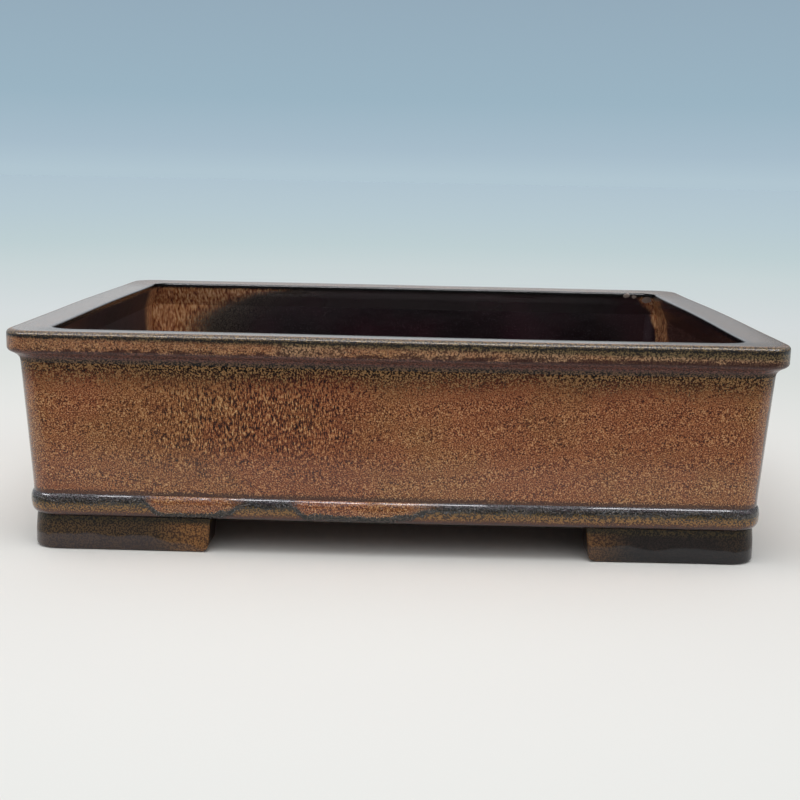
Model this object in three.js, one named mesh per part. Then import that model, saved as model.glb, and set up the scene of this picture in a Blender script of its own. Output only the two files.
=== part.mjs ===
// A rectangular bonsai pot, built the way a potter builds one from slabs of clay: a floor slab,
// four leaning walls, a rim strip laid on the walls, a belt moulding round the floor's edge,
// four block feet and the coils pressed into the inside seams.
// Millimetres, +Z up. The origin is the middle of the footprint, on the ground.

import * as THREE from 'three';
import { LoftGeometry } from 'three/addons/geometries/LoftGeometry.js';

// ---- Driving dimensions ---------------------------------------------------------------

// The whole pot in plan, over the lip
const RIM_LENGTH = 400;
const RIM_WIDTH = 300;
const SIDE_BOW = 1.5;             // the middle of each side swells this far past its ends
const OUTER_CORNER_RADIUS = 14;   // plan corners of everything seen from outside
const INNER_CORNER_RADIUS = 3;    // plan corners of every inside face

// The stack of pieces, from the ground up
const FOOT_HEIGHT = 18;
const FLOOR_THICKNESS = 12;
const WALL_HEIGHT = 69.2;
const COVE_HEIGHT = 4.5;
const LIP_HEIGHT = 12;

// Rim strip
const RIM_STRIP_WIDTH = 18.7;     // lip face to the inner edge
const LIP_OVERHANG = 5;           // lip face to the top of the wall face
const LIP_TOP_ROLL = 2.6;
const LIP_BOTTOM_ROLL = 2.1;      // how far the lip's lower edge is rounded in
const LIP_BOTTOM_ROLL_HEIGHT = 3;
const RIM_CROWN = 0.7;            // the inner edge lies this much below the crown
const RIM_INNER_ROLL = 1.2;
const RIM_INNER_FACE = 2.5;       // height of the rim's upright inner face

// Walls
const WALL_THICKNESS = 10;
const WALL_LEAN = 3.5;            // the wall's foot lies this far inside its top
const WALL_FOOT_FLARE = 0.8;      // the wall's foot spreads this far over the belt
const WALL_FOOT_FLARE_HEIGHT = 1.6;

// Belt moulding
const BELT_THICKNESS = 4.3;
const BELT_PROJECTION = 1.2;      // belt face beyond the wall's foot
const BELT_LOWER_ROLL = 3.7;
const BELT_LOWER_ROLL_HEIGHT = 6.2;
const BELT_SHOULDER_HEIGHT = 3.2;

// Feet: each is one L-shaped block, with a leg along the front or back and one along the side
const FOOT_THICKNESS = 21;
const FOOT_SETBACK = 2.4;         // belt face to the top of the foot's face
const FOOT_FLARE = 0.8;           // the foot's face leans out this far at the ground
const FOOT_EDGE_ROLL = 1.8;
const FOOT_END_ROLL = 3.5;        // the rounded lower corner at the end of each leg
const FOOT_SIDE_LEG = 65;
const FOOT_LONG_LEGS = { front_left: 94, front_right: 89, back_left: 91, back_right: 91 };

// Inside seam coils
const COIL_LEG = 9;               // how far a coil reaches along each face that it joins
const COIL_EDGE = 0.8;            // its blunt edge

// Holes through the floor
const DRAIN_HOLE_RADIUS = 16;
const DRAIN_HOLE_SPACING = 190;
const WIRE_HOLE_RADIUS = 3.5;
const WIRE_HOLE_SPACING_X = 110;
const WIRE_HOLE_SPACING_Y = 130;

// Slip joints: the layer of slip between two pieces whose seam isn't level
const SLIP_GAP = 0.3;

// Upright seams, measured in from the lip's corner; they are staggered from piece to piece
const WALL_SEAM_INSET = 27;
const RIM_SEAM_INSET = 36;
const BELT_SEAM_INSET = 45;

// How finely round stretches are divided
const ARC_STEPS = 3;
const CORNER_STEPS = 5;
const LONG_SIDE_STEPS = 10;
const SHORT_SIDE_STEPS = 8;
const HOLE_STEPS = 24;

// ---- Values that follow from the driving dimensions ------------------------------------

const halfLength = RIM_LENGTH / 2 - SIDE_BOW;
const halfWidth = RIM_WIDTH / 2 - SIDE_BOW;

const floorBottom = FOOT_HEIGHT;
const floorTop = floorBottom + FLOOR_THICKNESS;
const wallTop = floorTop + WALL_HEIGHT;
const lipBottom = wallTop + COVE_HEIGHT;
const rimTop = lipBottom + LIP_HEIGHT;

// Insets are measured inwards from the lip's face
const wallFootInset = LIP_OVERHANG + WALL_LEAN;
const beltInset = wallFootInset - BELT_PROJECTION;
const beltBackInset = beltInset + BELT_THICKNESS;
const floorInset = beltBackInset + SLIP_GAP;
const footTopInset = beltInset + FOOT_SETBACK;
const wallBackInset = (z) => LIP_OVERHANG + WALL_THICKNESS + WALL_LEAN * (wallTop - z) / WALL_HEIGHT;

// ---- Places round the pot ---------------------------------------------------------------

// A station turns an inset and a corner radius into a place in plan. The sides swell gently
// between the corners, so the stations along a side carry the bow.

const bow = (along, half) =>
  SIDE_BOW * (1 + Math.cos(Math.PI * along / (half - OUTER_CORNER_RADIUS))) / 2;

const onLongSide = (side, x) => (inset) =>
  new THREE.Vector2(x, side * (halfWidth - inset + bow(x, halfLength)));

const onShortSide = (side, y) => (inset) =>
  new THREE.Vector2(side * (halfLength - inset + bow(y, halfWidth)), y);

const onCorner = (sideX, sideY, angle) => (inset, radius) => new THREE.Vector2(
  sideX * (halfLength - inset - radius * (1 - Math.cos(angle))),
  sideY * (halfWidth - inset - radius * (1 - Math.sin(angle))),
);

// Evenly spaced numbers from first to last, both included
const spread = (first, last, steps) =>
  Array.from({ length: steps + 1 }, (_, i) => first + (last - first) * i / steps);

// The stations of one corner, from the long side round to the short side
const cornerStations = (sideX, sideY) =>
  spread(Math.PI / 2, 0, CORNER_STEPS).map((angle) => onCorner(sideX, sideY, angle));

// ---- Sections and lofts -----------------------------------------------------------------

// A section is drawn as two paths in (inset, height): up the outside, then down the inside.
// A loft wants it the other way round, so that its faces point outwards.
function section(outside, inside) {
  const withRadius = (path, radius) =>
    path.getPoints(ARC_STEPS).map(({ x, y }) => ({ inset: x, z: y, radius }));
  return [
    ...withRadius(outside, OUTER_CORNER_RADIUS),
    ...withRadius(inside, INNER_CORNER_RADIUS),
  ].reverse();
}

// Sweep a section along stations, which run anticlockwise seen from above, and cap both ends
function sweep(profile, stations, lowest = () => -Infinity) {
  const sections = stations.map((station, i) => profile.map(({ inset, z, radius }) => {
    const plan = station(inset, radius);
    return new THREE.Vector3(plan.x, plan.y, Math.max(z, lowest(i)));
  }));
  return new LoftGeometry(sections, { capStart: true, capEnd: true });
}

// The long front strip of a course, which turns both front corners and ends on the short sides
function frontStrip(profile, seamInset) {
  const seam = halfWidth - seamInset;
  const run = halfLength - seamInset;
  return sweep(profile, [
    onShortSide(-1, -seam),
    ...cornerStations(-1, -1).reverse(),
    ...spread(-run, run, LONG_SIDE_STEPS).map((x) => onLongSide(-1, x)),
    ...cornerStations(1, -1),
    onShortSide(1, -seam),
  ]);
}

// The short strip that fits between the ends of the front and back strips, on the right
function rightStrip(profile, seamInset) {
  const end = halfWidth - seamInset - SLIP_GAP;
  return sweep(profile, spread(-end, end, SHORT_SIDE_STEPS).map((y) => onShortSide(1, y)));
}

// ---- Sections of the pieces ---------------------------------------------------------------

const innerEdgeTop = rimTop - RIM_CROWN;
const rimSection = section(
  new THREE.Path()
    .moveTo(LIP_OVERHANG, wallTop)
    .quadraticCurveTo(LIP_OVERHANG, wallTop + COVE_HEIGHT / 2, LIP_BOTTOM_ROLL, lipBottom)
    .quadraticCurveTo(0, lipBottom + LIP_BOTTOM_ROLL / 2, 0, lipBottom + LIP_BOTTOM_ROLL_HEIGHT)
    .lineTo(0, rimTop - LIP_TOP_ROLL)
    .quadraticCurveTo(0, rimTop, LIP_TOP_ROLL, rimTop)
    .lineTo(RIM_STRIP_WIDTH / 2, rimTop),
  new THREE.Path()
    .moveTo(RIM_STRIP_WIDTH - RIM_INNER_ROLL, innerEdgeTop)
    .quadraticCurveTo(RIM_STRIP_WIDTH, innerEdgeTop, RIM_STRIP_WIDTH, innerEdgeTop - RIM_INNER_ROLL)
    .lineTo(RIM_STRIP_WIDTH, innerEdgeTop - RIM_INNER_FACE)
    .lineTo(wallBackInset(wallTop), wallTop),
);

const wallSection = section(
  new THREE.Path()
    .moveTo(wallFootInset - WALL_FOOT_FLARE, floorTop)
    .lineTo(wallFootInset, floorTop + WALL_FOOT_FLARE_HEIGHT)
    .lineTo(LIP_OVERHANG, wallTop),
  new THREE.Path()
    .moveTo(wallBackInset(wallTop), wallTop)
    .lineTo(wallBackInset(floorTop), floorTop),
);

// The belt is thin, so its back keeps the outer corner radius too
const beltSection = section(
  new THREE.Path()
    .moveTo(beltInset + BELT_LOWER_ROLL, floorBottom)
    .quadraticCurveTo(beltInset, floorBottom, beltInset, floorBottom + BELT_LOWER_ROLL_HEIGHT)
    .lineTo(beltInset, floorTop - BELT_SHOULDER_HEIGHT)
    .lineTo(wallFootInset - WALL_FOOT_FLARE, floorTop)
    .lineTo(beltBackInset, floorTop)
    .lineTo(beltBackInset, floorBottom),
  new THREE.Path(),
);

const footSection = section(
  new THREE.Path()
    .moveTo(footTopInset - FOOT_FLARE + FOOT_EDGE_ROLL, 0)
    .quadraticCurveTo(footTopInset - FOOT_FLARE, 0, footTopInset - FOOT_FLARE, FOOT_EDGE_ROLL)
    .lineTo(footTopInset, FOOT_HEIGHT),
  new THREE.Path()
    .moveTo(footTopInset + FOOT_THICKNESS, FOOT_HEIGHT)
    .lineTo(footTopInset + FOOT_THICKNESS, 0),
);

// ---- Geometry of the pieces that aren't plain strips ---------------------------------------

function circle(x, y, radius) {
  return new THREE.Path().absarc(x, y, radius, 0, 2 * Math.PI, false);
}

function floorSlab() {
  const run = halfLength - floorInset - OUTER_CORNER_RADIUS;
  const rise = halfWidth - floorInset - OUTER_CORNER_RADIUS;
  const stations = [
    ...spread(-run, run, LONG_SIDE_STEPS).map((x) => onLongSide(-1, x)),
    ...cornerStations(1, -1).slice(1, -1),
    ...spread(-rise, rise, SHORT_SIDE_STEPS).map((y) => onShortSide(1, y)),
    ...cornerStations(1, 1).slice(1, -1).reverse(),
    ...spread(run, -run, LONG_SIDE_STEPS).map((x) => onLongSide(1, x)),
    ...cornerStations(-1, 1).slice(1, -1),
    ...spread(rise, -rise, SHORT_SIDE_STEPS).map((y) => onShortSide(-1, y)),
    ...cornerStations(-1, -1).slice(1, -1).reverse(),
  ];
  const outline = new THREE.Shape(stations.map((station) => station(floorInset, OUTER_CORNER_RADIUS)));
  for (const side of [-1, 1]) {
    outline.holes.push(circle(side * DRAIN_HOLE_SPACING / 2, 0, DRAIN_HOLE_RADIUS));
    for (const end of [-1, 1]) {
      const wireHoleX = side * WIRE_HOLE_SPACING_X / 2;
      const wireHoleY = end * WIRE_HOLE_SPACING_Y / 2;
      outline.holes.push(circle(wireHoleX, wireHoleY, WIRE_HOLE_RADIUS));
    }
  }
  const slab = new THREE.ExtrudeGeometry(outline, {
    depth: FLOOR_THICKNESS,
    bevelEnabled: false,
    curveSegments: HOLE_STEPS,
  });
  return slab.translate(0, 0, floorBottom);
}

// Distances from the end of a leg at which its rounded lower corner is divided, and the
// height of the foot's underside at each
const endRollSteps = spread(0, Math.PI / 2, ARC_STEPS).map((angle) => ({
  fromEnd: FOOT_END_ROLL * (1 - Math.cos(angle)),
  underside: FOOT_END_ROLL * (1 - Math.sin(angle)),
}));

function foot(sideX, sideY, longLeg) {
  const legEndX = halfLength - footTopInset - longLeg;
  const legEndY = halfWidth - footTopInset - FOOT_SIDE_LEG;
  const innerCorner = footTopInset + FOOT_THICKNESS + INNER_CORNER_RADIUS;
  const stations = [
    ...endRollSteps.map(({ fromEnd, underside }) =>
      ({ place: onLongSide(sideY, sideX * (legEndX + fromEnd)), underside })),
    { place: onLongSide(sideY, sideX * (halfLength - innerCorner)), underside: 0 },
    ...cornerStations(sideX, sideY).map((place) => ({ place, underside: 0 })),
    { place: onShortSide(sideX, sideY * (halfWidth - innerCorner)), underside: 0 },
    ...endRollSteps.toReversed().map(({ fromEnd, underside }) =>
      ({ place: onShortSide(sideX, sideY * (legEndY + fromEnd)), underside })),
  ];
  if (sideX === sideY) stations.reverse();
  return sweep(footSection, stations.map(({ place }) => place), (i) => stations[i].underside);
}

// The hollow face of a coil, a quarter circle between the two faces that it joins
const coilHollow = spread(0, Math.PI / 2, CORNER_STEPS).map((angle) => ({
  across: COIL_LEG - (COIL_LEG - COIL_EDGE) * Math.cos(angle),
  up: COIL_LEG - (COIL_LEG - COIL_EDGE) * Math.sin(angle),
}));

// The coil in an upright corner, which leans with the walls
function cornerCoil(sideX, sideY) {
  const layer = (z) => {
    const inset = wallBackInset(z) + SLIP_GAP;
    const cornerX = halfLength - inset;
    const cornerY = halfWidth - inset;
    const outline = [
      new THREE.Vector3(cornerX - COIL_LEG, cornerY, z),
      new THREE.Vector3(cornerX - INNER_CORNER_RADIUS, cornerY, z),
      new THREE.Vector3(cornerX, cornerY - INNER_CORNER_RADIUS, z),
      new THREE.Vector3(cornerX, cornerY - COIL_LEG, z),
      ...coilHollow.map(({ across, up }) => new THREE.Vector3(cornerX - across, cornerY - up, z)),
    ].map((point) => point.multiply(new THREE.Vector3(sideX, sideY, 1)));
    return sideX === sideY ? outline.reverse() : outline;
  };
  return new LoftGeometry([layer(floorTop), layer(wallTop)], { capStart: true, capEnd: true });
}

// The coil along the foot of a wall, between two corner coils
const floorCoilInset = wallBackInset(floorTop) + SLIP_GAP;
const floorCoilSection = [
  { inset: floorCoilInset, z: floorTop + COIL_LEG },
  { inset: floorCoilInset, z: floorTop },
  { inset: floorCoilInset + COIL_LEG, z: floorTop },
  ...coilHollow.toReversed().map(({ across, up }) => ({ inset: floorCoilInset + across, z: floorTop + up })),
];

function frontFloorCoil() {
  const end = halfLength - floorCoilInset - COIL_LEG - SLIP_GAP;
  return sweep(floorCoilSection, spread(-end, end, LONG_SIDE_STEPS).map((x) => onLongSide(-1, x)));
}

function rightFloorCoil() {
  const end = halfWidth - floorCoilInset - COIL_LEG - SLIP_GAP;
  return sweep(floorCoilSection, spread(-end, end, SHORT_SIDE_STEPS).map((y) => onShortSide(1, y)));
}

// ---- Finishes -------------------------------------------------------------------------------

const glaze = (color, roughness) => new THREE.MeshStandardMaterial({ color, roughness, metalness: 0 });
const rimGlaze = glaze(0x6b5543, 0.18);
const wallGlaze = glaze(0x8a6040, 0.2);
const beltGlaze = glaze(0x57442f, 0.18);
const footGlaze = glaze(0x33291f, 0.2);
const floorGlaze = glaze(0x3c231b, 0.35);
const coilGlaze = glaze(0x4a2c20, 0.35);

// ---- Assembly -------------------------------------------------------------------------------

const pot = new THREE.Group();
pot.name = 'bonsai_pot';

function add(name, geometry, material, turned = false) {
  const mesh = new THREE.Mesh(geometry, material.clone());
  mesh.name = name;
  mesh.rotation.z = turned ? Math.PI : 0;
  pot.add(mesh);
}

add('floor_slab', floorSlab(), floorGlaze);

// Each course is two long strips and the two short ones between them; the back and left
// strips are the front and right ones turned half round
const courses = {
  wall: { profile: wallSection, seamInset: WALL_SEAM_INSET, material: wallGlaze },
  rim: { profile: rimSection, seamInset: RIM_SEAM_INSET, material: rimGlaze },
  belt: { profile: beltSection, seamInset: BELT_SEAM_INSET, material: beltGlaze },
};
for (const [course, { profile, seamInset, material }] of Object.entries(courses)) {
  add(`front_${course}`, frontStrip(profile, seamInset), material);
  add(`back_${course}`, frontStrip(profile, seamInset), material, true);
  add(`left_${course}`, rightStrip(profile, seamInset), material, true);
  add(`right_${course}`, rightStrip(profile, seamInset), material);
}

for (const [endName, sideY] of [['front', -1], ['back', 1]]) {
  for (const [sideName, sideX] of [['left', -1], ['right', 1]]) {
    const corner = `${endName}_${sideName}`;
    add(`${corner}_foot`, foot(sideX, sideY, FOOT_LONG_LEGS[corner]), footGlaze);
    add(`${corner}_corner_coil`, cornerCoil(sideX, sideY), coilGlaze);
  }
}

add('front_floor_coil', frontFloorCoil(), coilGlaze);
add('back_floor_coil', frontFloorCoil(), coilGlaze, true);
add('left_floor_coil', rightFloorCoil(), coilGlaze, true);
add('right_floor_coil', rightFloorCoil(), coilGlaze);

export default pot;
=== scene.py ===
# A rectangular bonsai pot of glazed stoneware, dressed piece by piece in the order it is built.
# Sizes are in millimetres, and become metres where a mesh is made.
import math

import bmesh
import bpy
from mathutils import Matrix, Vector


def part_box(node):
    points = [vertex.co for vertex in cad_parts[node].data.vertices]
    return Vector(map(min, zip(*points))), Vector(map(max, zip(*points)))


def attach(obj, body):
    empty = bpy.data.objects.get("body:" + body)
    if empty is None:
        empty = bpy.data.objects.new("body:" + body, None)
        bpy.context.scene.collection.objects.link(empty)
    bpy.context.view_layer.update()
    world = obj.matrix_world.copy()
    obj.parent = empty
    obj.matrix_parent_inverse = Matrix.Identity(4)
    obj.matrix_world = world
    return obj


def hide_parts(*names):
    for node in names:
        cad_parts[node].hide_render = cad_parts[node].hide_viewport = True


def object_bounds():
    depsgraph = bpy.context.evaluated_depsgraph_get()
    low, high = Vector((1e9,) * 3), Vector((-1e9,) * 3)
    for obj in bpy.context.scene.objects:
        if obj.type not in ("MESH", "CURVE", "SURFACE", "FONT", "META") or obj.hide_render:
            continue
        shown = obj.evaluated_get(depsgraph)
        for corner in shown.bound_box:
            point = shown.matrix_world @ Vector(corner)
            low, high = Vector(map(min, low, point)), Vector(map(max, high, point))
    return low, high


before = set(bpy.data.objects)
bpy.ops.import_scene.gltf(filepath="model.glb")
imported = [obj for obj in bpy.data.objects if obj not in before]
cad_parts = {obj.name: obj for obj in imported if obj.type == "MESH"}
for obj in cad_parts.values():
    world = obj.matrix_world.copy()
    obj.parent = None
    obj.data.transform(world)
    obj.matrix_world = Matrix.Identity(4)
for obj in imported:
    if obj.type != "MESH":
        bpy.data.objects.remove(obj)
cad_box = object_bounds()

MM = 0.001
scene = bpy.context.scene
scene.view_settings.view_transform = "Standard"


# ---- Camera ---------------------------------------------------------------------------------
# In front of the pot and a little above its rim, so that a strip of the inside shows over the
# front lip. It is turned a touch to the left and isn't quite level.

camera_place = Vector((9.8, -730.3, 195.4))
camera_turn = math.radians(0.74)
camera_down = math.radians(10.75)
camera_roll = math.radians(1.18)

camera = bpy.data.objects.new("camera", bpy.data.cameras.new("camera"))
camera.data.lens = 53.37
camera.data.sensor_width = 36
camera.matrix_world = (Matrix.Translation(camera_place * MM)
                       @ Matrix.Rotation(camera_turn, 4, "Z")
                       @ Matrix.Rotation(math.radians(90) - camera_down, 4, "X")
                       @ Matrix.Rotation(camera_roll, 4, "Z"))
scene.collection.objects.link(camera)
scene.camera = camera


# ---- Floor slab -----------------------------------------------------------------------------
# A slab of grogged stoneware, rolled flat and cut to the pot's plan, with two drain holes and
# four small holes for the wires that hold a tree. The edges of its holes are wiped round with a
# sponge, and only a thin wash of the dark glaze inside reaches it.

class Wire:
    """One output in a node tree. Arithmetic on it adds Math nodes to the tree."""

    def __init__(self, socket):
        self.socket = socket

    @classmethod
    def node(cls, tree, kind, settings=None, inputs=None, output=0):
        """Add a node: first its settings, then the values or wires of its sockets."""
        node = tree.nodes.new(kind)
        for name, value in (settings or {}).items():
            if name == "stops":
                cls.set_stops(node.color_ramp.elements, value)
            else:
                setattr(node, name, value)
        for name, value in (inputs or {}).items():
            if isinstance(value, cls):
                tree.links.new(value.socket, node.inputs[name])
            else:
                node.inputs[name].default_value = value
        return cls(node.outputs[output]) if node.outputs else node

    @staticmethod
    def set_stops(elements, stops):
        while len(elements) < len(stops):
            elements.new(1)
        for element, (position, shade) in zip(elements, stops):
            element.position = position
            element.color = shade

    def math(self, operation, *others):
        inputs = dict(enumerate((self, *others)))
        return Wire.node(self.socket.id_data, "ShaderNodeMath", {"operation": operation}, inputs)

    def __add__(self, other):
        return self.math("ADD", other)

    __radd__ = __add__

    def __mul__(self, other):
        return self.math("MULTIPLY", other)

    __rmul__ = __mul__

    def __sub__(self, other):
        return self.math("SUBTRACT", other)

    def __rsub__(self, other):
        return self * -1 + other

    def __truediv__(self, other):
        return self.math("DIVIDE", other)

    def clamped(self):
        settings = {"operation": "ADD", "use_clamp": True}
        return Wire.node(self.socket.id_data, "ShaderNodeMath", settings, {0: self, 1: 0.0})

    def rise(self, low, high):
        """0 below low, 1 above high, and smooth between them."""
        settings = {"interpolation_type": "SMOOTHSTEP"}
        inputs = {"Value": self, "From Min": low, "From Max": high}
        return Wire.node(self.socket.id_data, "ShaderNodeMapRange", settings, inputs)

    def band(self, low, high, soft):
        """1 from low to high and 0 elsewhere, with soft edges."""
        return self.rise(low - soft, low + soft) * (1 - self.rise(high - soft, high + soft))


# The plan that every course follows: straight sides that swell a little, and round corners
pot_high = cad_box[1] / MM
side_bow = 1.5
half_length = pot_high.x - side_bow
half_width = pot_high.y - side_bow
outer_corner = 14.0
inner_corner = 3.0
long_run = half_length - outer_corner
corner_run = outer_corner * math.pi / 2
short_run = half_width - outer_corner
quarter_run = long_run + corner_run + short_run


def laying_tree():
    """Clay is shaped as it lies on the bench, run out straight: X is the way along it, Y how far
    it lies inside the lip's face, and Z its height. This tree lays it round the pot."""
    tree = bpy.data.node_groups.new("lay_round_the_pot", "GeometryNodeTree")
    tree.interface.new_socket("Clay", in_out="INPUT", socket_type="NodeSocketGeometry")
    for label in ("Half length", "Half width", "Height", "Corner", "Bow", "Sway", "Sag"):
        tree.interface.new_socket(label, in_out="INPUT", socket_type="NodeSocketFloat")
    tree.interface.new_socket("Finish", in_out="INPUT", socket_type="NodeSocketMaterial")
    tree.interface.new_socket("Clay", in_out="OUTPUT", socket_type="NodeSocketGeometry")
    given = [Wire(socket) for socket in tree.nodes.new("NodeGroupInput").outputs]
    clay, length, width, top, corner, bow, sway, sag, finish = given[:9]

    position = Wire.node(tree, "GeometryNodeInputPosition")
    split = {"Vector": position}
    along, inset, height = (Wire.node(tree, "ShaderNodeSeparateXYZ", None, split, axis)
                            for axis in range(3))
    radius = Wire.node(tree, "GeometryNodeInputNamedAttribute", {"data_type": "FLOAT"},
                       {"Name": "corner_radius"})

    straight = length - corner
    arc = corner * (math.pi / 2)
    side = width - corner
    quarter = straight + arc + side
    run = along.math("PINGPONG", quarter)
    on_long = (run / straight).clamped()
    turn = ((run - straight) / arc).clamped() * (math.pi / 2)
    on_short = 1 - ((run - straight - arc) / side).clamped()
    turn_sine = turn.math("SINE")
    turn_cosine = turn.math("COSINE")
    swell_long = bow / 2 * (1 + (on_long * math.pi).math("COSINE"))
    swell_short = bow / 2 * (1 + (on_short * math.pi).math("COSINE"))
    out_x = (length - inset - radius) * on_long + radius * turn_sine + swell_short
    out_y = (width - inset - radius) * on_short + radius * turn_cosine + swell_long
    round_angle = along / quarter * (math.pi / 2)
    side_x = round_angle.math("SINE").math("SIGN")
    side_y = round_angle.math("COSINE").math("SIGN") * -1

    def place(x, y, z):
        return Wire.node(tree, "ShaderNodeCombineXYZ", None, {0: x, 1: y, 2: z})

    def unevenness(scale, seed):
        inputs = {"Vector": place(out_x * side_x, out_y * side_y, height),
                  "W": seed, "Scale": scale, "Detail": 1.0}
        return Wire.node(tree, "ShaderNodeTexNoise", {"noise_dimensions": "4D"}, inputs)

    drawn_in = unevenness(14.0, 3.0) * sway
    share_up = height / top
    droop = unevenness(7.0, 8.0) * sag * share_up * share_up
    laid = place((out_x - drawn_in * turn_sine) * side_x,
                 (out_y - drawn_in * turn_cosine) * side_y,
                 height - droop)
    moved = Wire.node(tree, "GeometryNodeSetPosition", None,
                      {"Geometry": clay, "Position": laid})
    real = Wire.node(tree, "GeometryNodeRealizeInstances", None, {"Geometry": moved})
    finished = Wire.node(tree, "GeometryNodeSetMaterial", None,
                         {"Geometry": real, "Material": finish})
    tree.links.new(finished.socket, tree.nodes.new("NodeGroupOutput").inputs[0])
    return tree


laying = laying_tree()
pot_sizes = {
    "Half length": half_length * MM,
    "Half width": half_width * MM,
    "Height": pot_high.z * MM,
    "Corner": outer_corner * MM,
    "Bow": side_bow * MM,
    "Sway": 0.5 * MM,
    "Sag": 0.7 * MM,
}


def grow(name, mesh, tree, values):
    """An object whose plain mesh is what a tree makes of a mesh with these values."""
    piece = bpy.data.objects.new(name, mesh)
    scene.collection.objects.link(piece)
    modifier = piece.modifiers.new(tree.name, "NODES")
    modifier.node_group = tree
    for item in tree.interface.items_tree:
        if item.in_out == "INPUT" and item.name in values:
            modifier[item.identifier] = values[item.name]
    depsgraph = bpy.context.evaluated_depsgraph_get()
    grown = bpy.data.meshes.new_from_object(piece.evaluated_get(depsgraph),
                                            preserve_all_data_layers=True,
                                            depsgraph=depsgraph)
    piece.modifiers.remove(modifier)
    piece.data = grown
    return piece


weld_distance = 0.0005          # points closer than this become one


def lay_round(name, mesh, finish):
    """Lay a mesh round the pot. Points that fall together become one, and its faces look out."""
    piece = grow(name, mesh, laying, {**pot_sizes, "Finish": finish})
    work = bmesh.new()
    work.from_mesh(piece.data)
    bmesh.ops.remove_doubles(work, verts=work.verts, dist=weld_distance * MM)
    if work.calc_volume(signed=True) < 0:
        bmesh.ops.reverse_faces(work, faces=work.faces)
    work.to_mesh(piece.data)
    work.free()
    return piece


def stand_for(piece, node):
    """Every piece rides on the pot's one body and stands for the node of its name."""
    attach(piece, "root")
    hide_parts(node)


def spread(first, last, step):
    """Evenly spaced numbers from first to last, about a step apart."""
    count = max(1, round(abs(last - first) / step))
    return [first + (last - first) * i / count for i in range(count + 1)]


def colour(code):
    """A colour written as six hex digits, as the light that it stands for."""
    levels = [int(code[i:i + 2], 16) / 255 for i in (0, 2, 4)]
    linear = [v / 12.92 if v <= 0.04045 else ((v + 0.055) / 1.055) ** 2.4 for v in levels]
    return (*linear, 1.0)


def mix(share, first, second):
    """A colour that goes from the first to the second, each a wire or six hex digits."""
    first, second = (colour(c) if isinstance(c, str) else c for c in (first, second))
    return Wire.node(share.socket.id_data, "ShaderNodeMix", {"data_type": "RGBA"},
                     {0: share, 6: first, 7: second}, 2)


class Finish:
    """A finish being mixed, with the places and the grain that all of the pot's finishes use.
    x, y, z and inset are in millimetres."""

    def __init__(self, name):
        self.material = bpy.data.materials.new(name)
        self.material.use_nodes = True
        self.tree = self.material.node_tree
        self.tree.nodes.clear()
        self.place = Wire.node(self.tree, "ShaderNodeTexCoord", output="Object")
        split = {"Vector": self.place}
        self.x, self.y, self.z = (
            Wire.node(self.tree, "ShaderNodeSeparateXYZ", None, split, axis) * (1 / MM)
            for axis in range(3))
        self.grain = self.noise(1480, 2)

    def mark(self, name):
        """What a mesh says about itself, point by point."""
        return Wire.node(self.tree, "ShaderNodeAttribute", {"attribute_name": name}, output="Fac")

    def noise(self, scale, detail, stretch=(1, 1, 1)):
        """Noise with so many lumps to the metre. A stretch under 1 draws the lumps out."""
        place = Wire.node(self.tree, "ShaderNodeMapping", None,
                          {"Vector": self.place, "Scale": stretch})
        return Wire.node(self.tree, "ShaderNodeTexNoise", None,
                         {"Vector": place, "Scale": scale, "Detail": detail})

    def ramp(self, share, *stops):
        stops = [(position, colour(code)) for position, code in stops]
        return Wire.node(self.tree, "ShaderNodeValToRGB", {"stops": stops}, {"Fac": share})

    def fire(self, base, roughness, relief, depth, swell=0.0, ior=1.6, coat=0.0):
        """Wire up the colour, the gloss and the relief of the surface, and give the material."""
        bump = Wire.node(self.tree, "ShaderNodeBump", None,
                         {"Height": relief, "Distance": depth * MM})
        if swell:
            bump = Wire.node(self.tree, "ShaderNodeBump", None,
                             {"Height": self.noise(120, 1), "Distance": swell * MM,
                              "Normal": bump})
        surface = Wire.node(self.tree, "ShaderNodeBsdfPrincipled", None,
                            {"Base Color": base, "Roughness": roughness, "Normal": bump,
                             "IOR": ior, "Coat Weight": coat, "Coat Roughness": 0.07})
        Wire.node(self.tree, "ShaderNodeOutputMaterial", None, {"Surface": surface})
        return self.material


def raw_clay(finish):
    """Bare fired stoneware: warm brown, with pale and dark grains of grog."""
    grog = finish.noise(420, 3)
    body = finish.ramp(grog, (0.32, "3d2418"), (0.45, "6b4430"), (0.6, "7d543c"), (0.72, "a08468"))
    return mix(finish.noise(12, 2).rise(0.35, 0.7), body, "5c3826")


def inset_of(node):
    """How far a back piece's outermost face lies inside the lip's face."""
    return pot_high.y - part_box(node)[1].y / MM


slab_low, slab_high = (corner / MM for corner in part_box("floor_slab"))
floor_bottom, floor_top = slab_low.z, slab_high.z
belt_face = inset_of("back_belt")
belt_thickness = 4.3
belt_back = belt_face + belt_thickness
drain_hole = 16.0               # radius
drain_spacing = 190.0
wire_hole = 3.5                 # radius
wire_spacing = (110.0, 130.0)
wiped_edge = 1.2                # how far the holes' edges are rounded
sharp_angle = math.radians(35)  # an edge bent more than this stays crisp


def slab_finish():
    finish = Finish("floor_wash")
    wash = finish.noise(26, 3) + (finish.grain - 0.5) * 0.5
    washed = finish.ramp(wash, (0.3, "1f1413"), (0.5, "33201a"), (0.7, "4a2f22"))
    on_top = finish.z.rise(floor_bottom + 9, floor_bottom + 11)
    base = mix(on_top, raw_clay(finish), washed)
    rough = 0.8 - on_top * 0.35
    return finish.fire(base, rough, finish.noise(420, 3), 0.5, 0.6)


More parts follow.
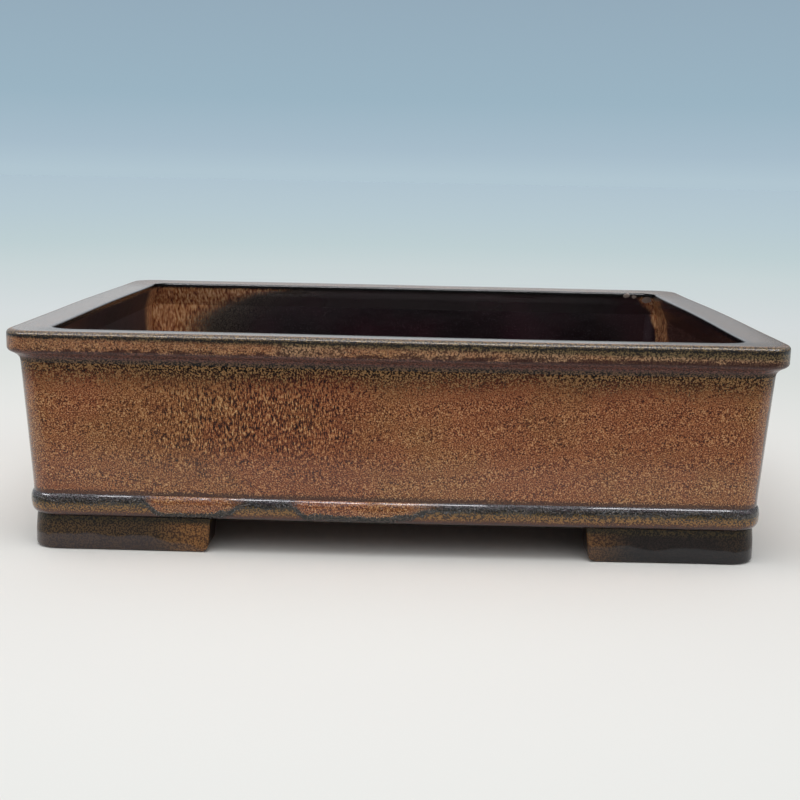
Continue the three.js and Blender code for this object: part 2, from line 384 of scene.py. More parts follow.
def slab_mesh(outline):
    """The slab, from its outline: walls round the outline and the holes, then both faces."""
    work = bmesh.new()
    faces_edges = [], []

    def wall(rings):
        made = [[work.verts.new(Vector(p) * MM) for p in ring] for ring in rings]
        for low, high in zip(made, made[1:]):
            for i in range(len(low)):
                j = (i + 1) % len(low)
                work.faces.new((low[i], low[j], high[j], high[i])).smooth = True
        for ring, edges in zip((made[0], made[-1]), faces_edges):
            edges += [work.edges.get((ring[i - 1], ring[i])) for i in range(len(ring))]

    wall([[(x, y, z) for x, y in outline] for z in (floor_bottom, floor_top)])
    drain_steps, wire_steps = 64, 24
    holes = [(side * drain_spacing / 2, 0, drain_hole, drain_steps) for side in (-1, 1)]
    holes += [(side * wire_spacing[0] / 2, end * wire_spacing[1] / 2, wire_hole, wire_steps)
              for side in (-1, 1) for end in (-1, 1)]
    rounding = [wiped_edge * (1 - math.sin(a)) for a in spread(0, math.pi / 2, math.pi / 12)]
    section = [(flare, floor_bottom + wiped_edge - math.sqrt(
        max(0, wiped_edge ** 2 - (wiped_edge - flare) ** 2))) for flare in rounding]
    section += [(flare, floor_bottom + floor_top - z) for flare, z in reversed(section)]
    for x, y, radius, steps in holes:
        turns = [2 * math.pi * i / steps for i in range(steps)]
        wall([[(x + (radius + flare) * math.cos(a), y + (radius + flare) * math.sin(a), z)
               for a in turns] for flare, z in section])
    for edges in faces_edges:
        bmesh.ops.triangle_fill(work, edges=edges, use_beauty=True)
    bmesh.ops.recalc_face_normals(work, faces=work.faces)
    for edge in work.edges:
        edge.smooth = edge.calc_face_angle(0) < sharp_angle
    mesh = bpy.data.meshes.new("floor_slab_clay")
    work.to_mesh(mesh)
    work.free()
    return mesh


# The slab's outline is a line laid round the pot as the strips of clay are
line = bpy.data.meshes.new("slab_line")
line_step = 3.0
line_stations = spread(0, 4 * quarter_run, line_step)[:-1]
line_ends = [(i, (i + 1) % len(line_stations)) for i in range(len(line_stations))]
line.from_pydata([(a * MM, belt_back * MM, 0) for a in line_stations], line_ends, [])
line_radius = line.attributes.new("corner_radius", "FLOAT", "POINT")
line_radius.data.foreach_set("value", [outer_corner * MM] * len(line_stations))
laid_line = lay_round("slab_line", line, None)
slab_outline = [(v.co.x / MM, v.co.y / MM) for v in laid_line.data.vertices]
bpy.data.objects.remove(laid_line)

slab = bpy.data.objects.new("floor_slab_fired", slab_mesh(slab_outline))
slab.data.materials.append(slab_finish())
scene.collection.objects.link(slab)
stand_for(slab, "floor_slab")


# ---- Belt moulding --------------------------------------------------------------------------
# A rounded strip of clay luted round the edge of the floor, in four lengths. The tan wall glaze
# stops on its shoulder at a black edge, but has run down over it in a few places. Below, the
# thinner glaze breaks from olive to tan and red-brown.

# Stations along a strip. Each tells how far along the clay a point lies, from how far it lies
# inside the lip's face and the radius of its corners.
def on_long_side(x):
    return lambda inset, radius: long_run * x / (half_length - inset - radius)


def on_corner(turn):
    return lambda inset, radius: long_run + corner_run * turn


def on_short_side(y):
    return lambda inset, radius: quarter_run + short_run * y / (half_width - inset - radius)


def other_way(station):
    return lambda inset, radius: -station(inset, radius)


corner_turns = spread(0, 1, 1 / 14)
corner_reach = 34.0             # a strip's last even step ends this far from the pot's corner


def front_stations(seam_y, step):
    """A front strip turns both front corners and ends on the short sides."""
    right = [on_corner(turn) for turn in corner_turns] + [on_short_side(-seam_y)]
    end = half_length - corner_reach
    middle = [on_long_side(x) for x in spread(-end, end, step)]
    return [other_way(station) for station in reversed(right)] + middle + right


def side_stations(seam_y, step):
    return [on_short_side(y) for y in spread(-seam_y, seam_y, step)]


def curve(start, bend, end, steps=8):
    """Points from start to end, pulled towards bend."""
    start, bend, end = Vector(start), Vector(bend), Vector(end)
    shares = [i / steps for i in range(steps + 1)]
    return [tuple(start * (1 - t) ** 2 + bend * 2 * t * (1 - t) + end * t * t) for t in shares]


def straight(start, end, steps):
    start, end = Vector(start), Vector(end)
    return [tuple(start.lerp(end, i / steps)) for i in range(steps + 1)]


def section(outside, inside=()):
    """Points in (inset, height, corner radius), up the outside and down the inside. Points
    where two stretches meet are given once."""
    points = [(*p, outer_corner) for p in outside] + [(*p, inner_corner) for p in inside]
    return [p for i, p in enumerate(points) if (Vector(p) - Vector(points[i - 1])).length > 1e-6]


def mark_points(mesh, label, values):
    mesh.attributes.new(label, "FLOAT", "POINT").data.foreach_set("value", values)


def clay_mesh(name, rings, share=lambda point: 0.0):
    """A closed mesh through rings of (along, inset, height, corner radius). Each point keeps
    its inset and whatever share the finish asks for."""
    size = len(rings[0])
    points = [point for ring in rings for point in ring]
    faces = [tuple(reversed(range(size))), tuple(range(len(points) - size, len(points)))]
    for first in range(0, len(points) - size, size):
        for i in range(size):
            j = (i + 1) % size
            faces.append((first + i, first + j, first + size + j, first + size + i))
    mesh = bpy.data.meshes.new(name)
    mesh.from_pydata([Vector(point[:3]) * MM for point in points], [], faces)
    mark_points(mesh, "corner_radius", [point[3] * MM for point in points])
    mark_points(mesh, "inset", [point[1] for point in points])
    mark_points(mesh, "share", [share(point) for point in points])
    work = bmesh.new()
    work.from_mesh(mesh)
    bmesh.ops.recalc_face_normals(work, faces=work.faces)
    for face in work.faces:
        face.smooth = len(face.verts) == 4
    for edge in work.edges:
        edge.smooth = edge.calc_face_angle(0) < sharp_angle
    work.to_mesh(mesh)
    work.free()
    return mesh


def strip_rings(profile, stations, turned=False):
    """The profile at each station, on the strip's own side of the pot or the one across."""
    across = 2 * quarter_run if turned else 0
    return [[(at(inset, radius) + across, inset, height, radius)
             for inset, height, radius in profile] for at in stations]


def seam_of(course):
    """How far from the middle of the short side a course's side strips end."""
    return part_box(f"right_{course}")[1].y / MM


def course_rings(course, profile, step):
    """The rings of a course's four strips, by the side that each is on."""
    seam_y = seam_of(course)
    front, side = front_stations(seam_y, step), side_stations(seam_y, step)
    return {"front": strip_rings(profile, front), "back": strip_rings(profile, front, True),
            "right": strip_rings(profile, side), "left": strip_rings(profile, side, True)}


wall_foot = belt_face + 1.15
shoulder_foot = 25.8            # height where the belt's face starts to turn in
shoulder_bend = 28.7
belt_roll = 3.7                 # how the belt's lower edge is rounded
belt_roll_height = 6.2
belt_step = 2.0                 # how closely the belt is modelled along its length

belt_section = section([
    *curve((belt_face + belt_roll, floor_bottom), (belt_face, floor_bottom),
           (belt_face, floor_bottom + belt_roll_height), 10),
    *curve((belt_face, shoulder_foot), (belt_face, shoulder_bend), (wall_foot, floor_top), 10),
    *straight((belt_back, floor_top), (belt_back, floor_bottom), 2)])

# Where the glaze has run down over the belt, along the pot from the middle of the front: where
# each run starts, reaches its full depth, leaves it and ends, and how deep it is
glaze_runs = [(-136, -124, -97, -77, 6.2), (-57, -46, -4, 31, 5.4), (298, 306, 328, 340, 3.0),
              (576, 590, 640, 664, 4.6), (-286, -276, -252, -240, 3.4)]
break_level = 27.7              # height of the black edge between them
run_thickness = 0.55
full_run = 4.0                  # a run this deep stands its full thickness proud


def smooth(t):
    t = min(1, max(0, t))
    return t * t * (3 - 2 * t)


def running_down(along):
    """How far the wall's glaze has run down here, in millimetres."""
    wrapped = (along + 2 * quarter_run) % (4 * quarter_run) - 2 * quarter_run
    return sum(drop * smooth((wrapped - start) / (full - start))
               * (1 - smooth((wrapped - leave) / (end - leave)))
               for start, full, leave, end, drop in glaze_runs)


def above_break(point):
    """How far a point lies above the wavering black edge of the wall's glaze."""
    along, _, height, _ = point
    waver = (0.35 * math.sin(along / 8.3) + 0.3 * math.sin(along / 3.1 + 1)
             + 0.25 * math.sin(along / 1.7))
    return height - break_level + running_down(along) - waver


def pooled(ring):
    """The runs stand a little proud of the belt."""
    shaped = []
    for along, inset, height, radius in ring:
        run = running_down(along) / full_run
        above = smooth(above_break((along, inset, height, radius)) / 1.6)
        proud = run_thickness * min(1, run) * above if inset < belt_back - 0.5 else 0
        shaped.append((along, inset - proud, height, radius))
    return shaped


def tan_body(finish, running=0.15):
    """The tan glaze of the walls: dark and pale grains, drawn into streaks where it has run,
    over red-brown and olive-tan patches. The grains are kept as the finish's relief."""
    streaks = finish.noise(1500, 2, (1, 1, 0.3))
    patches = finish.noise(16, 3)
    finish.relief = finish.grain + (streaks - finish.grain) * running
    level = (0.51 + (finish.relief - 0.5) * (1.25 + running * 1.1)
             + (patches - 0.5) * 0.08 - running * 0.06)
    red = finish.ramp(level, (0.26, "1d0e0a"), (0.38, "55281a"), (0.5, "894a2a"),
                      (0.62, "b07246"), (0.76, "d0a372"))
    olive = finish.ramp(level, (0.26, "1e120c"), (0.38, "56301c"), (0.5, "8a522d"),
                        (0.62, "b07b4b"), (0.76, "d0aa78"))
    return mix(finish.noise(24, 3).rise(0.4, 0.66), red, olive)


def belt_finish():
    finish = Finish("belt_glaze")
    body = tan_body(finish)
    above = finish.mark("share") + (finish.grain - 0.5) * 4 + (finish.noise(300, 2) - 0.5) * 2.5
    tan_run = finish.mark("run").clamped()
    ragged = finish.z + (finish.grain - 0.5) * 7
    grainy = finish.noise(1100, 2).rise(0.42, 0.58)
    # Along the lowest edge of the belt the purple-grey is the dark glaze with a painted reflection
    # of the pale table; above it the glaze goes red-brown.
    low = mix(ragged.rise(18.6, 21.2), "3c2d2c", "5e3322")
    low = mix(ragged.rise(20.4, 22.0), low, mix(grainy, "38200d", "976b35"))
    low = mix(ragged.rise(22.8, 26.0), low, mix(grainy, "120e0a", "5c4e2e"))
    shoulder = mix(grainy, "0c090b", "392d32")
    high = mix(tan_run, shoulder, body)
    base = mix(above.rise(-0.2, 0.5), low, high)
    black_edge = above.band(-1.9 - tan_run * 1.3, 0.1, 0.4)
    beads = finish.noise(900, 1)
    base = mix(black_edge, base, mix(beads.rise(0.48, 0.58), "060505", "4a4038"))
    back = finish.mark("inset").rise(belt_back - 0.6, belt_back - 0.3)
    pebbled = finish.relief * (1 + finish.z.rise(25.4, 27.2) * 0.8) + black_edge * beads * 4
    broken = finish.noise(150, 2, (0.3, 0.3, 2)).rise(0.44, 0.54) * finish.z.rise(24, 26)
    return finish.fire(mix(back, base, raw_clay(finish)), 0.08 + grainy * 0.08,
                       pebbled, 0.26, 0.25, ior=1.33, coat=0.75 - broken * 0.7)


belt_glaze = belt_finish()
for side, rings in course_rings("belt", belt_section, belt_step).items():
    rings = [pooled(ring) for ring in rings]
    mesh = clay_mesh(f"{side}_belt_clay", rings, above_break)
    mark_points(mesh, "run",
                [running_down(point[0]) / full_run for ring in rings for point in ring])
    stand_for(lay_round(f"{side}_belt_fired", mesh, belt_glaze), f"{side}_belt")


# ---- Feet -----------------------------------------------------------------------------------
# Four solid corner blocks, each with a leg along the front or back and one along the side,
# luted under the floor. They are dipped in the same glaze, which goes dark olive here, and
# their undersides are wiped bare to stand in the kiln.

foot_setback = 2.4              # belt's face to the top of the foot's face
foot_thickness = 21.0
foot_height = floor_bottom
foot_face_top = belt_face + foot_setback
foot_face_low = foot_face_top - 0.8
foot_face_bend = foot_face_low - 0.05
foot_back = foot_face_top + foot_thickness
foot_roll = 1.8                 # the rounded lower edge
foot_step = 3.0
end_roll = 4.5                  # the rounded lower corner at the end of each leg
end_edge = 1.4                  # the rounded upright edges there
end_lean = 1.7                  # how much the long leg's end leans in towards the bottom
lean_reach = 15.0               # how far from the end the lean fades out


def foot_section(from_end):
    """The foot's section, which draws in over the last few millimetres of a leg."""
    def rounded(radius):
        gone = max(0, radius - from_end)
        return radius - math.sqrt(max(0, radius * radius - gone * gone))
    side, lift = rounded(end_edge), rounded(end_roll)
    face = [*curve((foot_face_low + foot_roll, 0), (foot_face_low, 0), (foot_face_low, foot_roll)),
            *curve((foot_face_low, foot_roll), (foot_face_bend, foot_height / 2),
                   (foot_face_top, foot_height), 10)]
    back = straight((foot_back, foot_height), (foot_back, 0), 6)
    return [(min(max(inset, foot_face_low + side), foot_back - side), max(z, lift), radius)
            for inset, z, radius in section(face, back)]


def foot_rings(corner):
    """A foot's rings, from the end of its long leg round the corner to the end of the other."""
    low, high = (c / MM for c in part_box(f"{corner}_foot"))
    end_x = min(abs(low.x), abs(high.x))
    end_y = min(abs(low.y), abs(high.y))
    from_ends = [end_roll * (1 - math.cos(a)) for a in spread(0, math.pi / 2, math.pi / 16)]
    reach = foot_back + inner_corner

    def leaning(x, z):
        lean = end_lean * max(0, 1 - (x - end_x) / lean_reach) * (1 - z / foot_height)
        return on_long_side(x + lean)

    long_leg = [(end_x + gone, gone) for gone in from_ends]
    along_leg = spread(end_x + end_roll, half_length - reach, foot_step)[1:-1]
    long_leg += [(x, end_roll) for x in along_leg]
    rings = [[(leaning(x, z)(inset, radius), inset, z, radius)
              for inset, z, radius in foot_section(gone)] for x, gone in long_leg]
    stations = [(on_corner(turn), end_roll) for turn in corner_turns]
    along_side = spread(half_width - reach, end_y + end_roll, foot_step)[1:-1]
    stations += [(on_short_side(-y), end_roll) for y in along_side]
    stations += [(on_short_side(-end_y - gone), gone) for gone in reversed(from_ends)]
    return rings + [[(at(inset, radius), inset, z, radius)
                     for inset, z, radius in foot_section(gone)] for at, gone in stations]


# Each corner's clay runs the way that the front right one does, or is its mirror image
corner_turning = {
    "front_right": lambda along: along,
    "front_left": lambda along: -along,
    "back_right": lambda along: 2 * quarter_run - along,
    "back_left": lambda along: 2 * quarter_run + along,
}


def foot_finish():
    finish = Finish("foot_glaze")
    grainy = finish.noise(1200, 2).rise(0.42, 0.6)
    patches = (finish.noise(14, 2) - 0.5) * 0.8
    left = 1 - finish.x.rise(-60, 60)
    inner = 1 - finish.x.math("ABSOLUTE").rise(102, 132)
    warm = (left * 0.42 + inner * 0.5 + patches).clamped()
    dark = mix(grainy, "0f0b0a", "241a17")
    olive = mix(grainy, "21170e", "7d5d35")
    base = mix(warm, dark, mix(inner, olive, mix(grainy, "4a2c18", "94673a")))
    # The ends of the legs are painted near black: painted shade on the end faces.
    base = mix(finish.mark("end").rise(0.86, 0.98), base, "211713")
    # Below a wavy line the foot's lower part is painted blue-grey on the right and purple-grey on
    # the left: a painted reflection of the table. The same part also gets a gloss coat.
    sheen_edge_height = finish.z + patches * 10 + (finish.noise(70, 2) - 0.5) * 7 + left * inner * 5
    painted_sheen_and_gloss = 1 - sheen_edge_height.rise(7.4, 8.6)
    base = mix(painted_sheen_and_gloss * (1 - inner * 0.7) * 0.6, base, mix(left, "1d1d21", "3b2e30"))
    # Under the belt the foot's top is black with olive speckle: painted shade under the belt's
    # overhang, over the glaze's own speckle.
    ragged = finish.z + (finish.grain - 0.5) * 5
    base = mix(ragged.rise(13.6, 16.2), base, mix(grainy, "0a0807", "43361f"))
    bare = 1 - (finish.z + (finish.noise(300, 2) - 0.5) * 0.5).rise(0.15, 0.45)
    base = mix(bare, base, raw_clay(finish))
    return finish.fire(base, 0.3 + bare * 0.5, finish.grain, 0.07, 0.35,
                       ior=1.33, coat=painted_sheen_and_gloss * (1 - bare) * 0.5)


foot_glaze = foot_finish()
for corner, turning in corner_turning.items():
    rings = [[(turning(along), inset, z, radius) for along, inset, z, radius in ring]
             for ring in foot_rings(corner)]
    mesh = clay_mesh(f"{corner}_foot_clay", rings)
    # Marks the rings near each end of a leg, where the finish paints shade.
    from_end = [min(i, len(rings) - 1 - i) for i in range(len(rings))]
    mark_points(mesh, "end", [1 - min(1, steps / 8) for steps, ring in zip(from_end, rings)
                              for point in ring])
    stand_for(lay_round(f"{corner}_foot_fired", mesh, foot_glaze), f"{corner}_foot")


# ---- Walls ----------------------------------------------------------------------------------
# Four slabs about a centimetre thick, leaning out a little, joined near the corners. Outside
# they wear the thick tan glaze, which has run in streaks and goes dark and olive under the lip.
# Inside they are lined with a near-black wine-red glaze, with tan runs in the corners.

lip_overhang = inset_of("back_wall")
wall_lean = 3.5
wall_thickness = 10.0
wall_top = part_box("front_wall")[1].z / MM
flare_top = 40.0                # below this the wall's face sweeps out to the belt
flare_bend = 34.0
flare_reach = 0.35
wall_step = 3.0


def wall_back(z):
    return lip_overhang + wall_thickness + wall_lean * (wall_top - z) / (wall_top - floor_top)


flare_end = (wall_foot - flare_reach, flare_top)
wall_section = section([
    *curve((wall_foot, floor_top), (wall_foot, flare_bend), flare_end, 8),
    *straight(flare_end, (lip_overhang, wall_top), 20)],
    straight((wall_back(wall_top), wall_top), (wall_back(floor_top), floor_top), 20))

# x + y of the inside corners at the top of the walls
lining_corner = half_length + half_width - 2 * wall_back(wall_top)


def mottled(finish, pale):
    """Black grains and pale ones, where the glaze is thin under the lip."""
    speckle = finish.noise(1080, 2) * 0.8 + finish.relief * 0.2
    return mix(speckle.rise(0.475, 0.54), "050403", pale)


def lining(finish):
    """The dark glaze inside. Tan runs fill the corners, and a broad one spreads from the back
    left corner, high up, with a grey-green fringe. The back right one slants on to the side."""
    grainy = finish.grain.rise(0.38, 0.64)
    dark = mix(finish.noise(20, 2).rise(0.35, 0.65), "160e11", "27141a")
    wavy = finish.noise(700, 2, (1, 1, 0.3))
    tan = finish.ramp(wavy + (finish.noise(60, 2) - 0.5) * 0.2, (0.3, "4a2416"), (0.42, "8a5134"),
                      (0.54, "b07a50"), (0.66, "cfa275"))
    brown = mix(grainy, "4a281b", "885338")
    falling = ((finish.z - 113) / 11).math("EXPONENT")
    slope = finish.x + 150 - falling * 78
    edge = slope + (finish.noise(30, 3) - 0.5) * 30 + (finish.grain - 0.5) * 40
    back = finish.y.rise(100, 118)
    side = finish.x.math("ABSOLUTE").rise(166, 174) * (1 - back)
    right = finish.x.rise(-20, 20)
    near_back = finish.y.rise(75, 132) * right
    near_front = (1 - finish.y.rise(-110, -20)) * finish.z.rise(84, 104)
    base = mix((1 - edge.rise(-2, 48)) * back * 0.9, dark, mix(grainy, "1f1b1a", "564e45"))
    base = mix((1 - edge.rise(-22, 6)) * back, base, tan)
    base = mix(side * (0.04 + right * 0.2 + near_back * 0.7 + near_front * 0.5), base, brown)
    uneven = (finish.noise(70, 2) - 0.5) * 12
    from_corner = lining_corner - finish.x.math("ABSOLUTE") - finish.y.math("ABSOLUTE")
    run = 1 - (from_corner + uneven).rise(4, 11)
    past_corner = finish.x - finish.y - half_length + half_width
    down = wall_top + 12 - finish.z
    slanting = (past_corner + uneven).band(down * 0.7 - 10, down + 26, 3)
    slanting = slanting * (finish.z + uneven * 2).rise(56, 70)
    back_right = (finish.x + finish.y).rise(225, 245)
    run = run + (slanting - run) * back_right
    return mix(run * 0.9, base, tan)


def wall_finish():
    finish = Finish("wall_glaze")
    front = 1 - finish.y.rise(-100, -60)
    patches = finish.noise(22, 3) - 0.5
    across = (finish.x + patches * 60).band(-122, -18, 42)
    upper = (finish.z + patches * 40).rise(32, 62)
    elsewhere = finish.noise(8, 1).rise(0.48, 0.62) * (1 - front)
    running = (across * upper * front * 0.65 + elsewhere * 0.6 + 0.08).clamped()
    body = tan_body(finish, running)
    ragged = finish.z + (finish.relief - 0.5) * 60 + patches * 12
    outside = mix(ragged.rise(89.5, 98), body, mottled(finish, "987249"))
    seam = finish.z + (finish.grain - 0.5) * 5
    outside = mix((1 - seam.rise(31.6, 33.2)) * 0.8, outside, "35190f")
    upright = (wall_top - finish.z) * (wall_lean / (wall_top - floor_top))
    wander = (finish.noise(30, 2) - 0.5) * 3
    round_corner = (finish.y.math("ABSOLUTE") + upright + wander).band(135.6, 138.4, 0.5)
    round_corner = round_corner * (finish.x.math("ABSOLUTE") + upright).rise(186, 188)
    outside = mix(round_corner * (0.35 + finish.x.rise(100, 150) * 0.45), outside, "2c100c")
    inside = finish.mark("inset").rise(11, 13)
    base = mix(inside, outside, lining(finish))
    dull = inside * (1 - finish.x.rise(-172, -166))
    rough = 0.16 + finish.grain.rise(0.4, 0.7) * 0.12 + dull * 0.35
    shiny = (1 - dull) * (1 - finish.z.rise(86, 96) * (1 - inside))
    return finish.fire(base, rough, finish.relief, 0.2, 0.22, ior=1.4, coat=shiny * 0.45)


wall_glaze = wall_finish()
for side, rings in course_rings("wall", wall_section, wall_step).items():
    mesh = clay_mesh(f"{side}_wall_clay", rings)
    stand_for(lay_round(f"{side}_wall_fired", mesh, wall_glaze), f"{side}_wall")


# ---- Rim strips -----------------------------------------------------------------------------
# A thick strip laid on the walls, with a rolled lip, a cove under it and a nearly flat top.
# The glaze draws back to black along its edges, and gathers red-brown on the lip's lower roll.

rim_top = pot_high.z
rim_width = 18.7
cove_height = 4.5
cove_end = 2.1                  # where the cove meets the lip's lower roll, from the lip's face
lip_bottom = wall_top + cove_height
lower_roll = 3.0
lower_bend = 1.05
top_roll = 2.6
rim_crown = 0.7                 # how far the top falls towards the inside
inner_roll = 1.2
inner_face = 2.5
inner_top = rim_top - rim_crown
rim_step = 3.0

rim_section = section([
    *curve((lip_overhang, wall_top), (lip_overhang, wall_top + cove_height / 2),
           (cove_end, lip_bottom), 10),
    *curve((cove_end, lip_bottom), (0, lip_bottom + lower_bend), (0, lip_bottom + lower_roll), 8),
    *straight((0, lip_bottom + lower_roll), (0, rim_top - top_roll), 5),
    *curve((0, rim_top - top_roll), (0, rim_top), (top_roll, rim_top), 12),
    *curve((top_roll, rim_top), (rim_width / 2, rim_top), (rim_width - inner_roll, inner_top), 10)],
    [*curve((rim_width - inner_roll, inner_top), (rim_width, inner_top),
            (rim_width, inner_top - inner_roll), 8),
     *straight((rim_width, inner_top - inner_roll), (rim_width, inner_top - inner_face), 4),
     *straight((rim_width, inner_top - inner_face), (wall_back(wall_top), wall_top), 3)])

# Chips in the glaze of the inner edge, near the back right corner: where along the back, how
# high, and how wide
chips = [(161.0, 112.8, 4.4), (166.5, 112.0, 2.6), (175.8, 110.0, 6.0)]


def rim_finish():
    finish = Finish("rim_glaze")
    inset = finish.mark("inset")
    grainy = finish.noise(1100, 2).rise(0.43, 0.57)
    dull = (finish.noise(30, 3) + finish.x * 0.001).rise(0.4, 0.62)
    body = mix(0.35 + dull * 0.5, tan_body(finish), mix(grainy, "33261b", "b8916d"))
    dashes = finish.noise(170, 2, (1, 1, 2.2)) + finish.x * 0.0003
    ragged = finish.z + (finish.grain - 0.5) * 4.5
    # The cove and the lip's lower roll are purple-brown: partly the glaze's own colour, partly a
    # painted reflection of the pale table under them.
    roll_glaze_and_reflection = mix(grainy, "341f1d", "6b463d")
    base = mix(ragged.rise(100.4, 101.8), mottled(finish, "6d513a"), roll_glaze_and_reflection)
    base = mix(ragged.rise(105.3, 106.6), base, body)
    to_right = finish.x.rise(0, 150)
    red = ragged.band(104.8, 107.8, 0.6) * (dashes + to_right * 0.1).rise(0.45, 0.57)
    base = mix(red * 0.85, base, "34140f")
    olive_edge = ragged + finish.x * 0.009
    base = mix(olive_edge.rise(109.4, 111.6) * 0.85, base, mix(grainy, "100d09", "5f5233"))
    base = mix((ragged + (dashes - 0.5) * 3).band(112.1, 113.3, 0.35), base, "0d0b0a")
    crown = mix(grainy, "2d1f17", "85623f")
    base = mix(inset.rise(0.7, 1.3) * finish.z.rise(110, 112), base, crown)
    base = mix(inset.rise(16.4, 17.2), base, "0d0b0b")
    inner = inset.rise(9, 11) * (1 - ragged.rise(110.4, 112.2))
    base = mix(inner, base, lining(finish))
    for x, z, width in chips:
        across = (finish.x - x) * (finish.x - x) + (finish.z - z) * (finish.z - z) * 2
        uneven = across.math("SQRT") + (finish.noise(400, 2) - 0.5) * 2.5
        chipped = (1 - uneven.rise(width * 0.5, width * 0.5 + 0.5)) * finish.y.rise(100, 110)
        base = mix(chipped * inset.rise(16, 17), base, "8c7d74")
    under_lip = (1 - finish.z.rise(100, 103)) * (1 - inset.rise(9, 11))
    top_edge = 1 - inset.rise(1.8, 3.2)
    rough = 0.14 + finish.grain.rise(0.4, 0.7) * 0.1 + under_lip * 0.4 + top_edge * 0.14
    dull_side = inner * (1 - finish.x.rise(-172, -166))
    shiny = finish.z.rise(105, 108) * (1 - dull_side) * (1 - finish.y.rise(80, 130) * 0.5)
    return finish.fire(base, rough + dull_side * 0.35, finish.relief, 0.2, 0.3, ior=1.4,
                       coat=shiny * (0.3 + inset.rise(1.8, 3.2) * 0.7))


rim_glaze = rim_finish()
for side, rings in course_rings("rim", rim_section, rim_step).items():
    mesh = clay_mesh(f"{side}_rim_clay", rings)
    stand_for(lay_round(f"{side}_rim_fired", mesh, rim_glaze), f"{side}_rim")


# ---- Seam coils -----------------------------------------------------------------------------
# Thin coils of soft clay pressed into the inside corners with a thumb, so that the slabs hold
# together. They leave the corners hollow and round, under the same lining glaze.

coil_leg = 9.3                  # how far a coil reaches along each of its two faces
upright_step = 3.0
lying_step = 4.0


def hollow(steps):
    """The hollow quarter round between two faces, as (distance from one, from the other)."""
    return [(coil_leg * (1 - math.cos(a)), coil_leg * (1 - math.sin(a)))
            for a in spread(0, math.pi / 2, math.pi / 2 / steps)]


def coil_finish():
    finish = Finish("coil_glaze")
    rough = 0.2 + finish.grain.rise(0.4, 0.7) * 0.1
    low = 1 - finish.z.rise(38, 60)
    base = mix(low * 0.6, lining(finish), "1d1214")
    return finish.fire(base, rough, finish.grain, 0.2, 0.5, ior=1.35)


def corner_coil_mesh(side_x, side_y):
    """A coil that leans in its corner with the two walls."""
    work = bmesh.new()
    layers = []
    for z in spread(floor_top, wall_top, upright_step):
        corner = Vector((half_length - wall_back(z), half_width - wall_back(z)))
        outline = [(corner.x - coil_leg, corner.y), (corner.x - inner_corner, corner.y),
                   (corner.x, corner.y - inner_corner), (corner.x, corner.y - coil_leg)]
        outline += [(corner.x - across, corner.y - up) for across, up in hollow(12)][1:-1]
        layers.append([work.verts.new(Vector((side_x * x, side_y * y, z)) * MM)
                       for x, y in outline])
    for low, high in zip(layers, layers[1:]):
        for i in range(len(low)):
            work.faces.new((low[i - 1], low[i], high[i], high[i - 1])).smooth = True
    work.faces.new(layers[0])
    work.faces.new(layers[-1])
    bmesh.ops.recalc_face_normals(work, faces=work.faces)
    for edge in work.edges:
        edge.smooth = edge.calc_face_angle(0) < sharp_angle
    mesh = bpy.data.meshes.new("corner_coil_clay")
    work.to_mesh(mesh)
    work.free()
    return mesh


coil_glaze = coil_finish()
for end, side_y in (("front", -1), ("back", 1)):
    for side, side_x in (("left", -1), ("right", 1)):
        corner = f"{end}_{side}_corner_coil"
        coil = bpy.data.objects.new(f"{corner}_fired", corner_coil_mesh(side_x, side_y))
        coil.data.materials.append(coil_glaze)
        scene.collection.objects.link(coil)
        stand_for(coil, corner)

coil_inset = wall_back(floor_top)
coil_section = section([], [
    (coil_inset, floor_top + coil_leg), (coil_inset, floor_top),
    (coil_inset + coil_leg, floor_top),
    *[(coil_inset + up, floor_top + across) for across, up in hollow(10)][1:-1]])
front_end = half_length - coil_inset - coil_leg
side_end = half_width - coil_inset - coil_leg
long_coil = [on_long_side(x) for x in spread(-front_end, front_end, lying_step)]
short_coil = [on_short_side(y) for y in spread(-side_end, side_end, lying_step)]
for side, stations, turned in (("front", long_coil, False), ("back", long_coil, True),
                               ("right", short_coil, False), ("left", short_coil, True)):
    rings = strip_rings(coil_section, stations, turned)
    coil = lay_round(f"{side}_floor_coil_fired", clay_mesh(f"{side}_coil_clay", rings), coil_glaze)
    stand_for(coil, f"{side}_floor_coil")


# ---- Table and light ------------------------------------------------------------------------
# A plain pale table that goes off into a pale blue-grey distance, an overcast sky, and one
# broad soft lamp overhead.

table_radius = 30.0


def table_material():
    finish = Finish("table")
    far = (finish.x * finish.x + finish.y * finish.y).math("SQRT") * MM
    tone = finish.ramp(far / (far + 1.5), (0.1, "e9e8e4"), (0.17, "e1e0dd"), (0.3, "d9dcd9"),
                       (0.41, "dde2e3"), (0.55, "d8e4e5"), (0.64, "d0e1e4"), (0.77, "cadde5"),
                       (0.95, "c3d7e3"))
    glossy = Wire.node(finish.tree, "ShaderNodeLightPath", output="Is Glossy Ray")
    front_edge = (finish.y * -MM).rise(0.26, 0.31)
    base = mix(glossy * front_edge * 0.85, tone, "2a2c2e")
    return finish.fire(base, 0.6, finish.grain, 0.0, ior=1.0)


table = bpy.data.meshes.new("table")
table_edge = [(table_radius * math.cos(a), table_radius * math.sin(a), 0)
              for a in spread(0, 2 * math.pi, math.pi / 64)]
table.from_pydata(table_edge[:-1], [], [tuple(range(len(table_edge) - 1))])
table.materials.append(table_material())
table_top = bpy.data.objects.new("table", table)
scene.collection.objects.link(table_top)


def sky_tones(stops):
    """The sky's tone from the horizon to straight overhead."""
    stops = [(position, colour(code)) for position, code in stops]
    return Wire.node(sky.node_tree, "ShaderNodeValToRGB", {"stops": stops}, {"Fac": upward})


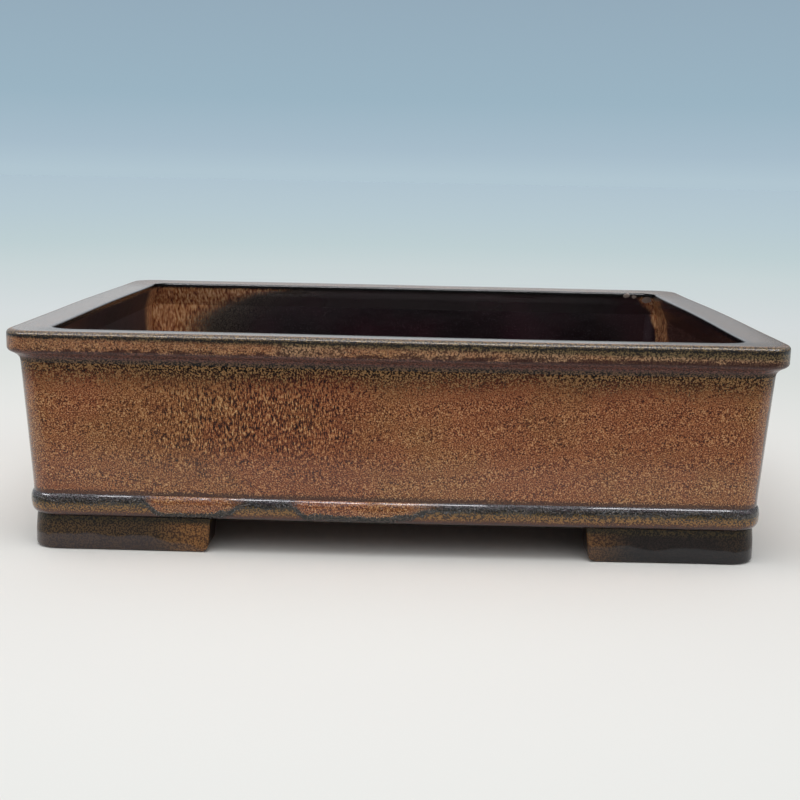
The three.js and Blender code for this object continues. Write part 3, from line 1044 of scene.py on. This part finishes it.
# What lights the pot, what its glaze mirrors and what is seen behind it differ, as in a studio:
# the glaze mirrors a pale room with a darker shape at the back right
sky = bpy.data.worlds.new("sky")
sky.use_nodes = True
sky.node_tree.nodes.clear()
direction = Wire.node(sky.node_tree, "ShaderNodeTexCoord", output="Generated")
rightward, backward, upward = (
    Wire.node(sky.node_tree, "ShaderNodeSeparateXYZ", None, {"Vector": direction}, axis)
    for axis in range(3))
light = sky_tones([(0.0, "4e5659"), (0.2, "697379"), (0.42, "9ca4aa"), (0.6, "ffffff")])
mirrored = sky_tones([(0.0, "8e9aa2"), (0.05, "a8afb4"), (0.12, "c4c8cb"), (0.3, "e2e2e6")])
dark_shape = rightward.rise(0.16, 0.2) * 0.35 + rightward.rise(0.25, 0.31) * 0.3
dark_shape = dark_shape * backward.rise(0, 0.5) * (1 - upward.rise(0.2, 0.3))
mirrored = mix(dark_shape, mirrored, "20282c")
seen = sky_tones([(0.0, "b2c6d1"), (0.02, "a8bdcb"), (0.06, "9bb4c3"), (0.145, "94aaba")])
glossy_ray = Wire.node(sky.node_tree, "ShaderNodeLightPath", output="Is Glossy Ray")
camera_ray = Wire.node(sky.node_tree, "ShaderNodeLightPath", output="Is Camera Ray")
sky_tone = mix(camera_ray, mix(glossy_ray, light, mirrored), seen)
# A narrow bright strip over the front, which shows as the highlight along the belt
over_the_front = (backward * -1).rise(0.0, 0.3)
strip = upward.band(0.58, 0.68, 0.03) * over_the_front
strength = 1 + glossy_ray * strip * 34
daylight = Wire.node(sky.node_tree, "ShaderNodeBackground", None,
                     {"Color": sky_tone, "Strength": strength})
Wire.node(sky.node_tree, "ShaderNodeOutputWorld", None, {"Surface": daylight})
scene.world = sky

lamp = bpy.data.objects.new("soft_lamp", bpy.data.lights.new("soft_lamp", "AREA"))
lamp.data.shape = "RECTANGLE"
lamp.data.size = 1.2
lamp.data.size_y = 0.6
lamp.data.energy = 7
lamp.location = (-0.15, -0.3, 1.3)
lamp.rotation_euler = (Vector((0, 0, 0.06)) - lamp.location).to_track_quat("-Z", "Y").to_euler()
scene.collection.objects.link(lamp)
